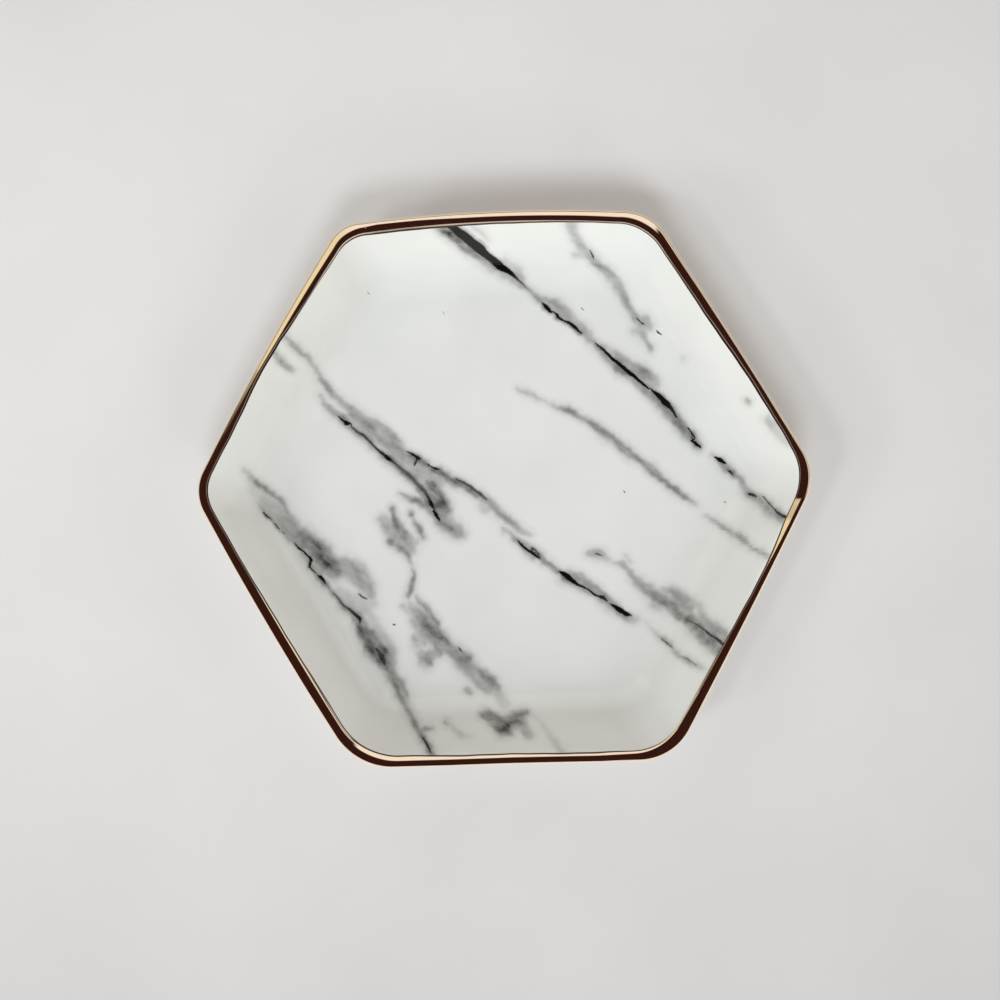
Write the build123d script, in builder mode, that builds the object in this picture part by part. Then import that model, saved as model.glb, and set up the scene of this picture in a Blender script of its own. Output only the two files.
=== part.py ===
from build123d import *
import os
from math import radians, sin, tan

# Hexagonal ring dish of glazed porcelain, with a marble print inside and a gold line over its lip.
# Millimetres. The origin is the middle of the face that it stands on, Z is up, and two corners
# of the hexagon lie on the X axis.

# Overall size of the finished dish, over its gold line
sides = 6
across_flats = 98.6
height = 16.0
rim_corner_radius = 11.5

# Fired body: a flat floor, a cove, and a wall that leans out and thins towards a round lip
floor_thickness = 2.2
lip_thickness = 1.3
inner_slope = 55.0
outer_slope = 58.5
cove_radius = 8.5
base_corner_radius = 9.5
lip_round_share = 0.97

# Foot ring under the floor, with its standing face wiped bare before the glaze is fired
foot_height = 1.3
foot_width = 3.0
foot_step = 0.8
foot_edge_radius = 0.35
wiped_height = 0.5

# Coats over the body, in the order that they are fired on
glaze_thickness = 0.25
print_thickness = 0.15
gold_thickness = 0.15

# Gold line: its width seen from above, and how far down the outside it reaches
gold_width = 1.7
gold_drop = 2.3

# Overrun of the forms that only cut
overrun = 2.0

# The lip is a half circle about this centre line, and both faces of the wall run down from it.
half_lip = lip_thickness / 2
coats = glaze_thickness + gold_thickness
lip_apothem = across_flats / 2 - coats - half_lip
lip_level = height - coats - half_lip
floor_level = foot_height + floor_thickness


def inner_apothem(level, skin):
    """Apothem of the wall's inner face at a level, grown inwards by a skin."""
    lean = radians(inner_slope)
    return lip_apothem - (half_lip + skin) / sin(lean) - (lip_level - level) / tan(lean)


def outer_apothem(level, skin):
    """Apothem of the wall's outer face at a level, grown outwards by a skin."""
    lean = radians(outer_slope)
    return lip_apothem + (half_lip + skin) / sin(lean) - (lip_level - level) / tan(lean)


rim_apothem = across_flats / 2
base_apothem = inner_apothem(floor_level, 0)
middle_apothem = (base_apothem + outer_apothem(floor_level, 0)) / 2
flat_apothem = base_apothem - cove_radius * tan(radians(inner_slope) / 2)
foot_outer_apothem = flat_apothem - foot_step
foot_inner_apothem = foot_outer_apothem - foot_width
gold_inner_apothem = rim_apothem - gold_width
gold_low_level = height - gold_drop
gold_inner_share = (gold_inner_apothem - middle_apothem) / (lip_apothem - middle_apothem)
gold_inner_level = floor_level + (lip_level - floor_level) * gold_inner_share


def corner_radius(apothem):
    """Corners tighten evenly on the way in, from the rim's radius to the base's."""
    way_in_share = (rim_apothem - apothem) / (rim_apothem - base_apothem)
    return rim_corner_radius + (base_corner_radius - rim_corner_radius) * way_in_share


def hexagon(apothem):
    """A rounded hexagon with the corner radius that goes with its apothem."""
    with BuildSketch() as outline:
        RegularPolygon(apothem, sides, major_radius=False)
        fillet(outline.vertices(), corner_radius(apothem))
    return outline.sketch


def bowl_form(skin):
    """The body without its foot, grown by a skin all over, so that coats nest on it."""
    top = lip_level + half_lip + skin
    floor = floor_level + skin
    under = foot_height - skin
    with BuildPart() as bowl:
        for level in (under, top):
            with BuildSketch(Plane.XY.offset(level)):
                add(hexagon(outer_apothem(level, skin)))
        loft(ruled=True)
        fillet(bowl.faces().sort_by(Axis.Z)[0].edges(), cove_radius + floor_thickness + skin)
        for level in (floor, top):
            with BuildSketch(Plane.XY.offset(level)):
                add(hexagon(inner_apothem(level, skin)))
        loft(ruled=True, mode=Mode.SUBTRACT)
        floor_face = bowl.faces().filter_by(Axis.Z).sort_by(Axis.Z)[1]
        fillet(floor_face.edges(), cove_radius - skin)
        lip_face = bowl.faces().filter_by(Axis.Z).sort_by(Axis.Z)[-1]
        fillet(lip_face.edges(), (half_lip + skin) * lip_round_share)
    return bowl.part


def foot_form(skin, low):
    """The foot ring from a level up into the floor, its sides grown by a skin."""
    with BuildPart() as foot:
        with BuildSketch(Plane.XY.offset(low)):
            add(hexagon(foot_outer_apothem + skin))
            add(hexagon(foot_inner_apothem - skin), mode=Mode.SUBTRACT)
        extrude(amount=foot_height + floor_thickness / 2 - low)
    return foot.part


# The fired body, the only piece that carries load: the bowl on its foot ring
with BuildPart() as porcelain_body:
    add(bowl_form(0))
    add(foot_form(0, 0))
    standing_face = porcelain_body.faces().filter_by(Axis.Z).sort_by(Axis.Z)[0]
    fillet(standing_face.edges(), foot_edge_radius)
porcelain_body.part.label = "porcelain_body"

# One coat of glaze covers the body. The wiped foot parts it in two: the larger piece runs over
# the inside, the lip and the outside as far as the foot, and the smaller lies within the foot.
glazed_bowl = bowl_form(glaze_thickness)
with BuildPart() as glaze_shell:
    add(glazed_bowl)
    add(foot_form(glaze_thickness, wiped_height))
    add(porcelain_body.part, mode=Mode.SUBTRACT)
coats_by_size = glaze_shell.solids().sort_by(SortBy.VOLUME)

with BuildPart() as underside_glaze:
    add(coats_by_size[0])
underside_glaze.part.label = "underside_glaze"

with BuildPart() as glaze_coat:
    add(coats_by_size[-1])
glaze_coat.part.label = "glaze_coat"

# The print lies inside this form, which follows the middle of the wall up to the apothem of the
# gold line's inner edge, and goes straight up from there.
with BuildPart() as print_reach:
    with BuildSketch(Plane.XY.offset(floor_level)):
        add(hexagon(middle_apothem))
    with BuildSketch(Plane.XY.offset(gold_inner_level)):
        add(hexagon(gold_inner_apothem))
    loft(ruled=True)
    top_face = print_reach.faces().sort_by(Axis.Z)[-1]
    extrude(top_face, amount=height - gold_inner_level + overrun)

# The print is fused over the inside glaze, and ends at the gold line's inner edge.
with BuildPart() as marble_transfer:
    add(bowl_form(glaze_thickness + print_thickness))
    add(glazed_bowl, mode=Mode.SUBTRACT)
    add(print_reach.part, mode=Mode.INTERSECT)
marble_transfer.part.label = "marble_transfer"

# The gold line is banded over the lip, from the print's edge to a little way down the outside.
with BuildPart() as gold_rim:
    add(bowl_form(glaze_thickness + gold_thickness))
    add(glazed_bowl, mode=Mode.SUBTRACT)
    add(print_reach.part, mode=Mode.SUBTRACT)
    with BuildSketch(Plane.XY.offset(gold_low_level)):
        add(hexagon(rim_apothem + overrun))
    extrude(amount=gold_drop + overrun, mode=Mode.INTERSECT)
gold_rim.part.label = "gold_rim"

os.makedirs("parts", exist_ok=True)
for piece in (porcelain_body, glaze_coat, underside_glaze, marble_transfer, gold_rim):
    export_step(piece.part, f"parts/{piece.part.label}.step")
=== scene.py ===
import bpy
import numpy as np
from math import cos, pi, radians, sin, sqrt, tan
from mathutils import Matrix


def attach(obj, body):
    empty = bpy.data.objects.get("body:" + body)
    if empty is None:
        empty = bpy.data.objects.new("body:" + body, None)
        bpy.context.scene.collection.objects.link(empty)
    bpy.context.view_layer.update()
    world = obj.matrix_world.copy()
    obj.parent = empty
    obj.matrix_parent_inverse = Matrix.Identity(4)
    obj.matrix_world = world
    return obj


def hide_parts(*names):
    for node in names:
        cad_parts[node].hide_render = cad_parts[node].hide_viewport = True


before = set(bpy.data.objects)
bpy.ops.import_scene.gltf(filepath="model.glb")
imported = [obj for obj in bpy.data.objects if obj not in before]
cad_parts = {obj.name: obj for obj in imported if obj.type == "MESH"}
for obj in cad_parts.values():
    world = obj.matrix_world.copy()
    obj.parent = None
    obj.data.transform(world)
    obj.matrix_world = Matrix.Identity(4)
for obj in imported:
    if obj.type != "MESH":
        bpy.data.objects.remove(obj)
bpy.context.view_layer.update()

# Ring dish of glazed porcelain: a fired body, its glaze, a marble print fused inside, and a gold
# line banded over the lip. Lengths here are in millimetres, and meshes are written in metres.
MM = 0.001

# ---- Camera ----
# The photograph was taken from straight above, with the dish a little turned under the lens.
# The print's veins are drawn where the photograph shows them, so the camera's place comes first.
picture_side = 1000
picture_middle = picture_side / 2
dish_turn = radians(1.75)
lens_length = 85.0
sensor_width = 36.0
lens_height = 439.7
lens_right_of_middle = -0.718
lens_above_middle = -2.153
picture_right = np.array([cos(dish_turn), -sin(dish_turn)])
picture_up = np.array([sin(dish_turn), cos(dish_turn)])
lens_spot = lens_right_of_middle * picture_right + lens_above_middle * picture_up

camera_data = bpy.data.cameras.new("overhead_camera")
camera_data.lens = lens_length
camera_data.sensor_width = sensor_width
camera = bpy.data.objects.new("overhead_camera", camera_data)
camera.location = (lens_spot[0] * MM, lens_spot[1] * MM, lens_height * MM)
camera.rotation_euler = (0, 0, -dish_turn)
bpy.context.scene.collection.objects.link(camera)
bpy.context.scene.camera = camera


def seen_at(points):
    """Where the camera sees points: each offset from the lens, times the focal length in
    pixels, over the depth below the lens. Pixels run right and down from the top left."""
    focal = lens_length / sensor_width * picture_side
    offset = points[..., :2] - lens_spot
    depth = lens_height - points[..., 2]
    right = picture_middle + focal * (offset @ picture_right) / depth
    down = picture_middle - focal * (offset @ picture_up) / depth
    return right, down


# ---- Fired body ----
# Porcelain pressed in a mould and fired: a flat floor, a coved wall that leans out and thins to a
# round lip, and a foot ring under it. Its standing face is left bare, the rest is under glaze.
sides = 6
sector = 2 * pi / sides
across_flats = 98.6
height = 16.0
rim_corner = 11.5
base_corner = 9.5
floor_thickness = 2.2
half_lip = 0.65
inner_slope = radians(55)
outer_slope = radians(58.5)
cove_radius = 8.5
foot_height = 1.3
foot_width = 3.0
foot_step = 0.8
foot_edge = 0.35
glaze_skin = 0.25
print_skin = 0.40

rim_apothem = across_flats / 2
lip_apothem = rim_apothem - print_skin - half_lip
lip_level = height - print_skin - half_lip
floor_level = foot_height + floor_thickness
base_apothem = (lip_apothem - half_lip / sin(inner_slope)
                - (lip_level - floor_level) / tan(inner_slope))
flat_apothem = base_apothem - cove_radius * tan(inner_slope / 2)
flat_corner = base_corner - (base_apothem - flat_apothem)
under_radius = cove_radius + floor_thickness
under_level = foot_height + under_radius
under_apothem = lip_apothem + (half_lip - under_radius
                               + (under_level - lip_level) * cos(outer_slope)) / sin(outer_slope)
under_corner = 3.75
foot_outer = flat_apothem - foot_step
foot_inner = foot_outer - foot_width
outer_turn = pi - outer_slope

# The kiln drew the rim a little out of true. Each side, from the one above the +X corner round
# anticlockwise, is turned by some degrees, moved out by some millimetres, and bowed out at its
# middle, and each corner's radius, from the +X one, is trimmed. It all fades to none at the foot.
side_turns = np.radians([0.75, 0.80, -0.85, -1.25, -0.25, 1.45])
side_moves = np.array([-0.24, -0.48, -0.43, -0.45, 0.43, 0.15])
side_bows = np.array([0.09, 0.98, 0.62, 0.36, -0.05, 0.20])
corner_trims = np.array([-2.0, -2.0, -4.5, -3.5, 0.6, -1.0])

# Sponging the clay rolled the lip's crown by some millimetres at each heading in degrees round the
# dish: inwards, or outwards where it is below zero.
lip_rolls = [(0, 0.0), (10, -0.15), (20, -0.3), (35, -0.25), (45, -0.1), (54, 0.3), (60, 0.6),
             (72, 0.38), (90, 0.3), (98, 0.25), (106, 0.05), (114, 0.0), (119, 0.55), (124, 0.65),
             (132, 0.45), (143, 0.3), (153, 0.0), (165, 0.0), (180, -0.15), (195, -0.35),
             (225, -0.35), (236, -0.1), (245, -0.35), (257, -0.4), (270, -0.2), (288, -0.35),
             (297, 0.2), (305, 0.8), (312, 0.4), (325, 0.15), (338, 0.0), (355, 0.05)]

# It also left a flat, sloped inwards, beside the right corner. At each heading this is how far the
# flat lies above its deepest place, and from flat_none up there is none. It fades out over
# flat_fade below the lip's centre.
flat_slope = radians(28)
flat_reach = 0.45
flat_none = 0.6
flat_fade = 0.3
lip_flats = [(330, 0.6), (336, 0.50), (340, 0.40), (344, 0.32), (348, 0.24), (352, 0.18),
             (356.5, 0.18), (358, 0.28), (359.3, 0.42), (359.9, 0.6)]


def corner_at(apothem):
    """Corner radius on the wall: it tightens evenly from the rim's to the base's."""
    share = (apothem - base_apothem) / (rim_apothem - base_apothem)
    return base_corner + (rim_corner - base_corner) * share


def by_heading(around, table):
    """Reads a table of headings in degrees and values between its headings, round the dish."""
    return np.interp(np.degrees(around), *np.array(table).T, period=360)


def lip_drop(apothem, level, around):
    """How far sponging took the lip down: where the flat lies below the round lip, the lip comes
    down to it. The drop is the same for all coats at one apothem."""
    radius = half_lip + print_skin
    out = apothem - lip_apothem
    turned = np.clip(out, -radius * sin(inner_slope), radius)
    top = np.sqrt(radius ** 2 - turned ** 2) + (out - turned) * tan(inner_slope)
    start = sqrt(radius ** 2 - flat_reach ** 2)
    above = by_heading(around, lip_flats)
    plane = start + tan(flat_slope) * (out - flat_reach) + above
    cut = np.clip(plane - top, None, 0) * (above < flat_none)
    return cut * np.clip((level - lip_level) / flat_fade + 1, 0, 1)


def rolled(points):
    """Moves the points above the lip's centre in towards the middle of the dish, by the roll at
    their heading and the square of their height on the lip."""
    away = np.hypot(points[..., 0], points[..., 1])
    roll = by_heading(np.arctan2(points[..., 1], points[..., 0]), lip_rolls)
    up = np.clip((points[..., 2] - lip_level) / (half_lip + print_skin), 0, 1)
    scale = 1 - roll * up ** 2 / np.maximum(away, 1)
    return points * np.stack([scale, scale, np.ones(scale.shape)], -1)


def hexagons(apothem, level, corner, corner_steps, side_steps):
    """A rounded hexagon for each row of a profile. A side is a line at the apothem, a corner's
    middle is where two sides moved in by the corner radius meet, and the outline runs by arcs
    round the middles and lines between them, which a parabola bows out. Points of the plane are
    complex numbers, x + iy. Gives rows x columns x 3 points."""
    apothem, level, corner = (np.asarray(v, float)[..., None] for v in (apothem, level, corner))
    true_share = np.clip((level - foot_height) / (height - foot_height), 0, 1)
    drawn = true_share ** 2 * (3 - 2 * true_share)
    outwards = np.clip(apothem / base_apothem, 0, 1)
    corner = corner + drawn * corner_trims * outwards
    normal = np.arange(sides) * sector + sector / 2 + drawn * side_turns
    side_reach = apothem + drawn * side_moves * outwards
    before = np.roll(normal, 1, -1)
    reach, reach_before = side_reach - corner, np.roll(side_reach, 1, -1) - corner
    middle = -1j * (reach_before * np.exp(1j * normal) - reach * np.exp(1j * before))
    middle = (middle / np.sin(normal - before))[..., None]
    bend = np.mod(normal - before + pi, 2 * pi) - pi
    sweep = np.linspace(0, 1, corner_steps + 1)
    turned = (normal - bend)[..., None] + bend[..., None] * sweep
    arcs = middle + corner[..., None] * np.exp(1j * turned)
    along = np.linspace(0, 1, side_steps + 2)[1:-1]
    bow = drawn * side_bows * outwards ** 2
    out = corner[..., None] * (1 - along) + np.roll(corner, -1, -1)[..., None] * along
    out = out + bow[..., None] * 4 * along * (1 - along)
    lines = middle * (1 - along) + np.roll(middle, -1, -2) * along
    lines = lines + out * np.exp(1j * normal)[..., None]
    outline = np.concatenate([arcs, lines], -1).reshape(len(apothem), -1)
    dropped = level + lip_drop(apothem, level, np.angle(outline))
    return rolled(np.stack([outline.real, outline.imag, dropped], -1))


def circle(centre, radius, start, end, steps):
    """Steps + 1 points of a circle, by their angle from straight up, as apothem and level."""
    angle = np.linspace(start, end, steps + 1)
    return np.stack([centre[0] + radius * np.sin(angle), centre[1] + radius * np.cos(angle)])


def straight(start, end, steps):
    """The points between a start and an end, without them, as apothem and level."""
    share = np.linspace(0, 1, steps + 1)[1:-1]
    return np.outer(start, 1 - share) + np.outer(end, share)


def with_corners(points, corner_start, corner_end):
    """Adds the corner radius to apothem and level, even between its two ends by the apothem."""
    share = (points[0] - points[0][0]) / (points[0][-1] - points[0][0])
    return np.vstack([points, corner_start + (corner_end - corner_start) * share])


def inside_path(skin, rows):
    """From the middle of the floor out over the cove and up the inner face to the lip's crown,
    on a skin grown over the body: apothem, level and corner radius."""
    floor = floor_level + skin
    flat = straight((0, floor), (flat_apothem, floor), rows[0])
    flat = np.vstack([flat, flat_corner * flat[0] / flat_apothem])
    cove_centre = (flat_apothem, floor_level + cove_radius)
    cove = circle(cove_centre, cove_radius - skin, pi, pi - inner_slope, rows[1])
    cove = with_corners(cove, flat_corner, corner_at(cove[0][-1]))
    lip = circle((lip_apothem, lip_level), half_lip + skin, -inner_slope, 0, rows[3])
    face = straight(cove[:2, -1], lip[:, 0], rows[2])
    rise = np.hstack([face, lip])
    return np.hstack([flat, cove, np.vstack([rise, corner_at(rise[0])])])


def outside_path(skin, rows):
    """From beyond the lip's crown down the outer face and round under to the flat underside."""
    lip = circle((lip_apothem, lip_level), half_lip + skin, 0, outer_turn, rows[0])[:, 1:]
    turn = circle((under_apothem, under_level), under_radius + skin, outer_turn, pi, rows[2])
    face = straight(lip[:, -1], turn[:, 0], rows[1])
    fall = np.hstack([lip, face])
    turn = with_corners(turn, corner_at(turn[0][0]), under_corner)
    return np.hstack([np.vstack([fall, corner_at(fall[0])]), turn])


def middle_path(skin, steps):
    """Across the underside within the foot ring, from the ring in to the middle."""
    level = foot_height - skin
    points = straight((foot_inner - skin, level), (0, level), steps)
    return np.vstack([points, corner_at(foot_inner) * points[0] / foot_inner])


def closed_skin(name, grid, pole_levels=None):
    """A closed mesh from a grid of points whose columns run round the dish. With pole levels, a
    point on the axis at each closes the first and last rows. Without, the last joins the first."""
    rows, columns = grid.shape[:2]
    points = grid.reshape(-1, 3)
    last = rows if pole_levels is None else rows - 1
    row, column = np.meshgrid(np.arange(last), np.arange(columns), indexing="ij")
    below, beside = (row + 1) % rows, (column + 1) % columns
    quads = np.stack([row * columns + column, below * columns + column,
                      below * columns + beside, row * columns + beside], -1).reshape(-1, 4)
    faces = quads.tolist()
    if pole_levels is not None:
        points = np.vstack([points, [(0, 0, level) for level in pole_levels]])
        first, end = rows * columns, rows * columns + 1
        around = np.arange(columns)
        after = (around + 1) % columns
        base = (rows - 1) * columns
        faces += np.stack([np.full(columns, first), around, after], -1).tolist()
        faces += np.stack([base + around, np.full(columns, end), base + after], -1).tolist()
    mesh = bpy.data.meshes.new(name)
    mesh.from_pydata((points * MM).tolist(), [], faces)
    mesh.shade_smooth()
    piece = bpy.data.objects.new(name, mesh)
    bpy.context.scene.collection.objects.link(piece)
    return piece, points


def linear(code):
    """An sRGB hex colour as linear RGBA."""
    channels = np.array([int(code[i:i + 2], 16) / 255 for i in (1, 3, 5)])
    flat = np.where(channels <= 0.04045, channels / 12.92, ((channels + 0.055) / 1.055) ** 2.4)
    return (*flat, 1.0)


def set_inputs(node, inputs):
    """Sets a node's inputs. A socket, or a node's first output, is linked, all else is written."""
    for socket, value in inputs.items():
        if isinstance(value, bpy.types.Node):
            value = value.outputs[0]
        if isinstance(value, bpy.types.NodeSocket):
            node.id_data.links.new(value, node.inputs[socket])
        else:
            node.inputs[socket].default_value = value


def add_node(tree, kind, inputs=None, stops=(), **settings):
    """Adds a shader node with its settings, the stops of its colour ramp, and its inputs."""
    made = tree.nodes.new("ShaderNode" + kind)
    for setting, value in settings.items():
        setattr(made, setting, value)
    for number, (position, code) in enumerate(stops):
        made.color_ramp.elements[number].position = position
        made.color_ramp.elements[number].color = linear(code)
    set_inputs(made, inputs or {})
    return made


def new_material(name):
    """A new node material, its tree, its shader, joined to the output, and the coordinates of
    the object that wears it."""
    material = bpy.data.materials.new(name)
    material.use_nodes = True
    tree = material.node_tree
    tree.nodes.clear()
    shader = add_node(tree, "BsdfPrincipled")
    add_node(tree, "OutputMaterial", {"Surface": shader})
    return material, tree, shader, add_node(tree, "TexCoord").outputs["Object"]


# The profile runs over the inside, down the outside, round the foot ring and across the underside.
body_columns = (10, 40)
body_inside_rows = (8, 14, 10, 6)
body_outside_rows = (8, 10, 14)
body_middle_rows = 8
foot_edge_steps = 4
foot_down = circle((foot_outer - foot_edge, foot_edge), foot_edge, pi / 2, pi, foot_edge_steps)
foot_up = circle((foot_inner + foot_edge, foot_edge), foot_edge, pi, pi * 3 / 2, foot_edge_steps)
foot_run = np.hstack([[[foot_outer], [foot_height]], foot_down,
                      foot_up, [[foot_inner], [foot_height]]])
body_profile = np.hstack([
    inside_path(0, body_inside_rows),
    outside_path(0, body_outside_rows),
    np.vstack([foot_run, corner_at(foot_run[0])]),
    middle_path(0, body_middle_rows),
])
body_grid = hexagons(*body_profile, *body_columns)
fired_body, _ = closed_skin("fired_body", body_grid, (floor_level, foot_height))
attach(fired_body, "root")
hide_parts("porcelain_body")

# Bisque porcelain, wiped bare and fired: matt, warm white, with fine clay grain and scuffs where
# the foot ring has stood.
bisque, tree, shader, place = new_material("bisque_porcelain")
grain_size, scuff_size = 0.25 * MM, 3.0 * MM
grain = add_node(tree, "TexNoise", {"Vector": place, "Scale": 1 / grain_size, "Detail": 4.0})
scuffs = add_node(tree, "TexNoise", {"Vector": place, "Scale": 1 / scuff_size, "Detail": 6.0})
tone = add_node(tree, "ValToRGB", {"Fac": scuffs}, stops=[(0.35, "#c9c3b6"), (0.6, "#e4e0d6")])
bump = add_node(tree, "Bump", {"Height": grain, "Strength": 0.25, "Distance": 0.05 * MM})
set_inputs(shader, {"Base Color": tone, "Normal": bump, "Roughness": 0.75})
fired_body.data.materials.append(bisque)

# ---- White glaze ----
# Clear glaze dipped over the whole body and fired glossy. It runs from the middle of the inside,
# over the lip and down the outside, to the line where the foot was wiped.
wiped_level = 0.5
hem_round = 0.3
glaze_columns = (16, 56)
wall_rows = (6, 14, 12, 12)
fall_rows = (14, 18, 24)


def wiped_hem(edge, outwards):
    """Where the glaze ends on a side of the foot ring: down its face to the wiped line, rounded
    in to the clay, and up again behind it. It stands off the edge by a part of its skin."""
    hem = [(1, foot_height - glaze_skin), (1, wiped_level + glaze_skin),
           (1 - hem_round, wiped_level + glaze_skin * hem_round), (0, wiped_level),
           (0, foot_height)]
    return np.array([(edge + outwards * glaze_skin * part, level, corner_at(edge))
                     for part, level in hem]).T


glaze_out = np.hstack([inside_path(glaze_skin, wall_rows), outside_path(glaze_skin, fall_rows)])
glaze_in = np.hstack([inside_path(0, wall_rows), outside_path(0, fall_rows)])[:, ::-1]
glaze_profile = np.hstack([glaze_out, wiped_hem(foot_outer, 1), glaze_in])
white_glaze, _ = closed_skin("white_glaze", hexagons(*glaze_profile, *glaze_columns),
                             (floor_level + glaze_skin, floor_level))
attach(white_glaze, "root")
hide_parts("glaze_coat")

# Fired glaze on porcelain: cool white, wet-looking and glass smooth, with the slight waviness of
# glaze that ran, a few trapped pinholes, and faint clouding where it lies thicker. Most of a noise
# lies between noise_low and noise_high.
noise_low, noise_high = 0.3, 0.7
ripple_size = 6 * MM


def glaze_ripple(tree, place):
    """The bump of glaze that ran as it melted."""
    ripple = add_node(tree, "TexNoise", {"Vector": place, "Scale": 1 / ripple_size, "Detail": 1.0})
    return add_node(tree, "Bump", {"Height": ripple, "Strength": 0.2, "Distance": 0.12 * MM})


glaze, tree, shader, place = new_material("glazed_porcelain")
cloud_size, pinhole_spacing = 14 * MM, 7 * MM
clouds = add_node(tree, "TexNoise", {"Vector": place, "Scale": 1 / cloud_size, "Detail": 3.0})
tone = add_node(tree, "ValToRGB", {"Fac": clouds},
                stops=[(noise_low, "#e6e7e2"), (noise_high, "#eeefeb")])
pits = add_node(tree, "TexVoronoi", {"Vector": place, "Scale": 1 / pinhole_spacing})
pit = add_node(tree, "MapRange", {"Value": pits, "From Max": 0.03})
pitted = add_node(tree, "MixRGB", {"Fac": pit, "Color1": linear("#a8a49a"), "Color2": tone})
set_inputs(shader, {"Base Color": pitted, "Normal": glaze_ripple(tree, place),
                    "Roughness": 0.06, "IOR": 1.5})
white_glaze.data.materials.append(glaze)

# ---- Glaze within the foot ring ----
# The same dip of glaze on the underside, cut off from the rest by the wiped foot ring.
under_columns = (8, 24)
patch_rows = 20
patch = np.hstack([middle_path(0, patch_rows)[:, ::-1], wiped_hem(foot_inner, -1)[:, ::-1],
                   middle_path(glaze_skin, patch_rows)])
foot_glaze, _ = closed_skin("foot_glaze", hexagons(*patch, *under_columns),
                            (foot_height, foot_height - glaze_skin))
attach(foot_glaze, "root")
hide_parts("underside_glaze")
foot_glaze.data.materials.append(glaze)

# ---- Marble print ----
# A printed sheet of grey and black veins on white, slid on wet over the glaze and fused into it.
# It covers the inside, and its edge is hidden under the gold line. Its face has many points, to
# carry the veins, and its back has few.
print_columns = (22, 77)
print_rows = (86, 22, 28, 7)
print_back_rows = (4, 3, 3, 2)
print_edge = 48.15
print_profile = np.hstack([inside_path(print_skin, print_rows),
                           inside_path(glaze_skin, print_back_rows)[:, ::-1]])
print_profile = print_profile[:, print_profile[0] < print_edge]
print_grid = hexagons(*print_profile, *print_columns)
printed_marble, print_points = closed_skin("printed_marble", print_grid,
                                           (floor_level + print_skin, floor_level + glaze_skin))
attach(printed_marble, "root")
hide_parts("marble_transfer")

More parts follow.
